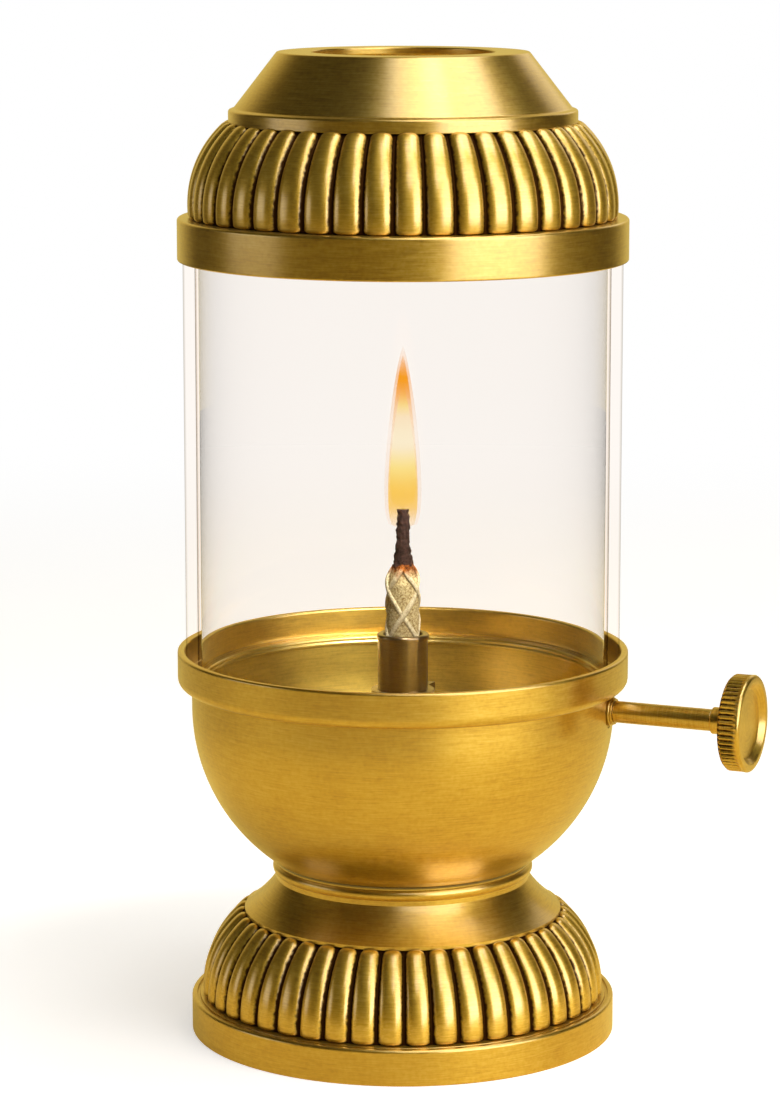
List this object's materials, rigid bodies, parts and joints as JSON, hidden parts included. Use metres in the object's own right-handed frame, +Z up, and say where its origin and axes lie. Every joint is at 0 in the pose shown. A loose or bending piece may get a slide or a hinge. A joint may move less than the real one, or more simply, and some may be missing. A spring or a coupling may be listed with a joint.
{
  "type": "oil lamp",
  "caption": "Standing brass oil lamp with a fluted stand and vented cap, a clear glass chimney, an oil bowl and a round wick that a knurled side knob raises and lowers.",
  "frame": {"origin": "centre of the foot ring's underside, on the surface that the lamp stands on", "axes": "+Z up along the lamp's axis, +X along the spindle towards the knob, +Y away from the viewer"},
  "size_m": [0.1294, 0.1, 0.218],
  "materials": {
    "satin_brass": "satin turned brass",
    "fluted_brass": "satin brass with dark patina in the grooves",
    "dark_brass": "dulled brass",
    "plain_steel": "plain zinc-plated steel",
    "red_fibre": "vulcanised fibre",
    "cotton_wick": "braided cotton, charred at the tip",
    "clear_glass": "clear"
  },
  "bodies": {
    "stand": {"foot_ring": "satin_brass", "base_dome": "fluted_brass", "base_neck": "satin_brass", "clamp_plate": "plain_steel", "tie_washer": "plain_steel", "tie_bolt": "plain_steel", "oil_bowl": "satin_brass", "bowl_rim": "satin_brass", "tube_socket": "dark_brass", "wick_tube": "dark_brass", "spindle_bracket": "dark_brass", "gland_bush": "satin_brass", "thrust_washer": "dark_brass", "gland_washer": "red_fibre", "gland_nut": "dark_brass"},
    "winder": {"spindle": "satin_brass", "star_wheel": "dark_brass", "knob": "satin_brass", "grub_screw": "plain_steel"},
    "wick": {"wick": "cotton_wick"},
    "chimney": {"glass_chimney": "clear_glass"},
    "cap": {"cap_collar": "satin_brass", "cap_dome": "fluted_brass", "cap_vent": "satin_brass"}
  },
  "joints": [
    {"name": "knob_turn", "type": "hinge", "parent": "stand", "child": "winder", "pos_m": [0, 0.00725, 0.0745], "axis": [-1, 0, 0], "range_deg": [-180, 180]},
    {"name": "wick_lift", "type": "slide", "parent": "stand", "child": "wick", "axis": [0, 0, 1], "range_m": [-0.00989, 0.00989]},
    {"name": "chimney_lift", "type": "slide", "parent": "stand", "child": "chimney", "axis": [0, 0, 1], "range_m": [0, 0.06]},
    {"name": "cap_lift", "type": "slide", "parent": "chimney", "child": "cap", "axis": [0, 0, 1], "range_m": [0, 0.04]}
  ],
  "couplings": [
    {"joint": "knob_turn", "follows": "wick_lift", "rad_per_m": 317.46}
  ]
}
